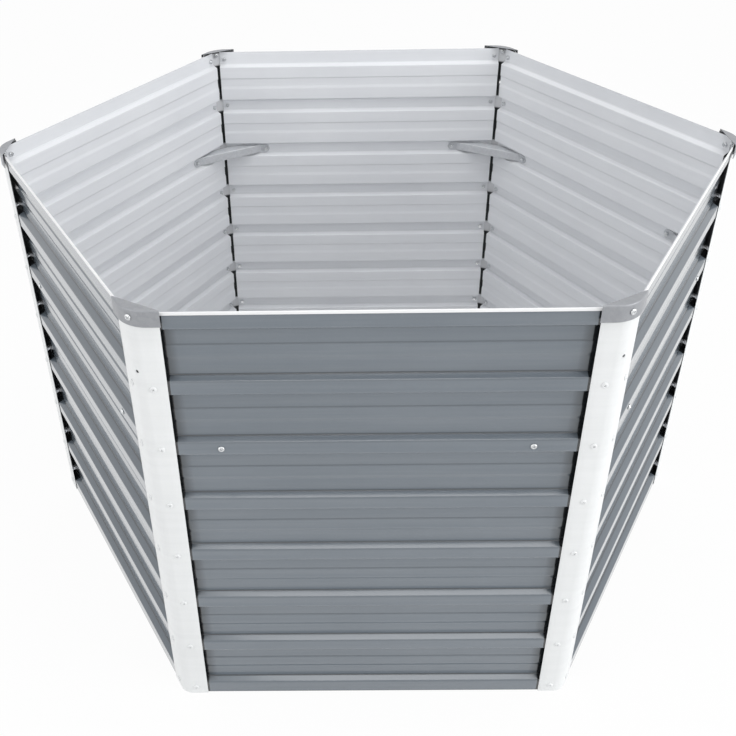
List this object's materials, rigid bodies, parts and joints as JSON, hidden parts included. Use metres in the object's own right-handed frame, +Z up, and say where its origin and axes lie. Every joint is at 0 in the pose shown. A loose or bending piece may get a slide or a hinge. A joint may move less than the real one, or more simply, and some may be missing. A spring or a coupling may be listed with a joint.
{
  "type": "raised garden bed",
  "caption": "Tall hexagonal raised garden bed of ribbed steel panels bolted to rounded corner posts, with corner caps and inner braces, open top and bottom.",
  "frame": {"origin": "centre of the bed at ground level, under the feet of the posts", "axes": "+Z up; +X through two opposite corners; the front panel faces -Y"},
  "size_m": [1.2872, 1.1236, 0.768],
  "materials": {
    "panel_paint": "semi-gloss blue-grey coating outside, pale grey back coat inside",
    "post_paint": "satin off-white coating",
    "galvanised": "dull galvanised sheet with faint spangle",
    "zinc": "bright zinc-plated fasteners"
  },
  "bodies": {
    "root": {"panel_back_right": "panel_paint", "panel_back": "panel_paint", "panel_back_left": "panel_paint", "panel_front_left": "panel_paint", "panel_front": "panel_paint", "panel_front_right": "panel_paint", "post_right": "post_paint", "cap_right": "galvanised", "brace_right": "galvanised", "cap_bolt_right": "zinc", "cap_nut_right": "zinc", "brace_bolt_right_a": "zinc", "brace_nut_right_a": "zinc", "brace_bolt_right_b": "zinc", "brace_nut_right_b": "zinc", "post_back_right": "post_paint", "cap_back_right": "galvanised", "brace_back_right": "galvanised", "cap_bolt_back_right": "zinc", "cap_nut_back_right": "zinc", "brace_bolt_back_right_a": "zinc", "brace_nut_back_right_a": "zinc", "brace_bolt_back_right_b": "zinc", "brace_nut_back_right_b": "zinc", "post_back_left": "post_paint", "cap_back_left": "galvanised", "brace_back_left": "galvanised", "cap_bolt_back_left": "zinc", "cap_nut_back_left": "zinc", "brace_bolt_back_left_a": "zinc", "brace_nut_back_left_a": "zinc", "brace_bolt_back_left_b": "zinc", "brace_nut_back_left_b": "zinc", "post_left": "post_paint", "cap_left": "galvanised", "brace_left": "galvanised", "cap_bolt_left": "zinc", "cap_nut_left": "zinc", "brace_bolt_left_a": "zinc", "brace_nut_left_a": "zinc", "brace_bolt_left_b": "zinc", "brace_nut_left_b": "zinc", "post_front_left": "post_paint", "cap_front_left": "galvanised", "brace_front_left": "galvanised", "cap_bolt_front_left": "zinc", "cap_nut_front_left": "zinc", "brace_bolt_front_left_a": "zinc", "brace_nut_front_left_a": "zinc", "brace_bolt_front_left_b": "zinc", "brace_nut_front_left_b": "zinc", "post_front_right": "post_paint", "cap_front_right": "galvanised", "brace_front_right": "galvanised", "cap_bolt_front_right": "zinc", "cap_nut_front_right": "zinc", "brace_bolt_front_right_a": "zinc", "brace_nut_front_right_a": "zinc", "brace_bolt_front_right_b": "zinc", "brace_nut_front_right_b": "zinc"}
  },
  "joints": []
}
